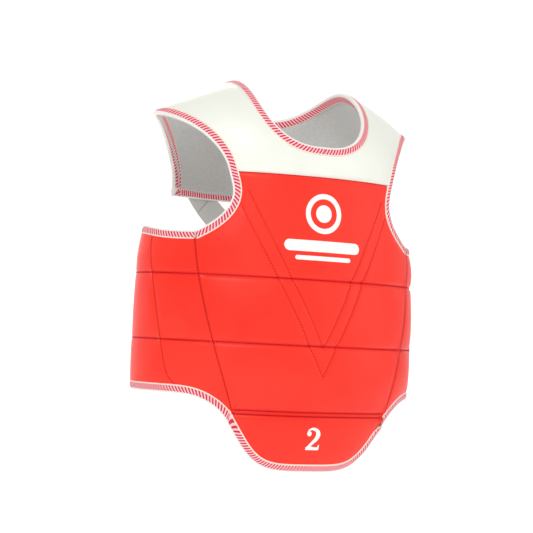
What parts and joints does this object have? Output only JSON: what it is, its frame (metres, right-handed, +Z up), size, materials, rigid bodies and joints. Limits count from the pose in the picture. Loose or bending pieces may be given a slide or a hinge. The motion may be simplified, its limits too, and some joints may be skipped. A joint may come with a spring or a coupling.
{
  "type": "padded chest protector",
  "caption": "Quilted red foam chest protector with white padded yoke, striped edge binding, side wings, groin lobe and crossed elastic back straps.",
  "frame": {"origin": "on the body axis at the height where the shoulders carry the guard", "axes": "+Z up, the front faces -Y, the wearer's right side is -X"},
  "size_m": [0.382, 0.2536, 0.4929],
  "materials": {
    "red_vinyl": "satin",
    "white_vinyl": "satin",
    "lining_cloth": "matte",
    "foam": "matte",
    "binding_tape": "matte",
    "elastic_webbing": "matte",
    "hook_tape": "matte",
    "black_plastic": "satin",
    "print_ink": "satin"
  },
  "bodies": {
    "front_and_yoke": {"front_cover": "red_vinyl", "yoke_cover": "white_vinyl", "front_lining": "lining_cloth", "yoke_lining": "lining_cloth", "chest_foam": "foam", "middle_foam": "foam", "abdomen_foam": "foam", "yoke_foam_front": "foam", "yoke_foam_back": "foam", "shoulder_foam_right": "foam", "shoulder_foam_left": "foam", "neck_binding": "binding_tape", "armhole_binding_right": "binding_tape", "armhole_binding_left": "binding_tape", "back_hem_binding": "binding_tape", "back_strap_right": "elastic_webbing", "back_strap_left": "elastic_webbing", "strap_anchor_right": "elastic_webbing", "strap_anchor_left": "elastic_webbing", "chest_roundel": "print_ink", "chest_bar": "print_ink"},
    "lobe": {"lobe_cover": "red_vinyl", "lobe_lining": "lining_cloth", "lobe_foam": "foam", "lobe_binding": "binding_tape", "size_numeral": "print_ink"},
    "wing_right": {"wing_cover_right": "red_vinyl", "wing_lining_right": "lining_cloth", "side_foam_upper_right": "foam", "side_foam_middle_right": "foam", "side_foam_lower_right": "foam", "back_foam_upper_right": "foam", "back_foam_middle_right": "foam", "back_foam_lower_right": "foam", "wing_binding_right": "binding_tape", "ring_loop_right": "elastic_webbing"},
    "wing_left": {"wing_cover_left": "red_vinyl", "wing_lining_left": "lining_cloth", "side_foam_upper_left": "foam", "side_foam_middle_left": "foam", "side_foam_lower_left": "foam", "back_foam_upper_left": "foam", "back_foam_middle_left": "foam", "back_foam_lower_left": "foam", "wing_binding_left": "binding_tape", "ring_loop_left": "elastic_webbing"},
    "ring_right": {"strap_ring_right": "black_plastic"},
    "ring_left": {"strap_ring_left": "black_plastic"},
    "strap_end_right": {"strap_tab_right": "elastic_webbing", "hook_patch_right": "hook_tape"},
    "strap_end_left": {"strap_tab_left": "elastic_webbing", "hook_patch_left": "hook_tape"}
  },
  "joints": [
    {"name": "wing_right_flex", "type": "hinge", "parent": "front_and_yoke", "child": "wing_right", "pos_m": [-0.1316, -0.0888, -0.3038], "axis": [-0.2028, 0.1713, 0.9641], "range_deg": [-5, 12], "stiffness_Nm_per_rad": 6, "deforming": ["back_strap_right"]},
    {"name": "wing_left_flex", "type": "hinge", "parent": "front_and_yoke", "child": "wing_left", "pos_m": [0.1316, -0.0888, -0.3038], "axis": [-0.2028, -0.1713, -0.9641], "range_deg": [-5, 12], "stiffness_Nm_per_rad": 6, "deforming": ["back_strap_left"]},
    {"name": "lobe_flex", "type": "hinge", "parent": "front_and_yoke", "child": "lobe", "pos_m": [0, -0.134, -0.4095], "axis": [-1, 0, 0], "range_deg": [-5, 30], "stiffness_Nm_per_rad": 1.2},
    {"name": "ring_right_swing", "type": "hinge", "parent": "wing_right", "child": "ring_right", "pos_m": [-0.1359, 0.09531, -0.32166], "axis": [0.5241, 0.4767, -0.7058], "range_deg": [-8, 8], "stiffness_Nm_per_rad": 0.05, "deforming": ["back_strap_right"]},
    {"name": "strap_end_right_turn", "type": "hinge", "parent": "ring_right", "child": "strap_end_right", "pos_m": [-0.12544, 0.10143, -0.30975], "axis": [0.5241, 0.4767, -0.7058], "range_deg": [-8.6, 8.6], "deforming": ["back_strap_right"]},
    {"name": "ring_left_swing", "type": "hinge", "parent": "wing_left", "child": "ring_left", "pos_m": [0.1359, 0.09531, -0.32166], "axis": [0.5241, -0.4767, 0.7058], "range_deg": [-8, 8], "stiffness_Nm_per_rad": 0.05, "deforming": ["back_strap_left"]},
    {"name": "strap_end_left_turn", "type": "hinge", "parent": "ring_left", "child": "strap_end_left", "pos_m": [0.12544, 0.10143, -0.30975], "axis": [0.5241, -0.4767, 0.7058], "range_deg": [-8.6, 8.6], "deforming": ["back_strap_left"]}
  ],
  "couplings": [
    {"joint": "strap_end_right_turn", "follows": "ring_right_swing", "ratio": -1.066},
    {"joint": "strap_end_left_turn", "follows": "ring_left_swing", "ratio": -1.066}
  ]
}
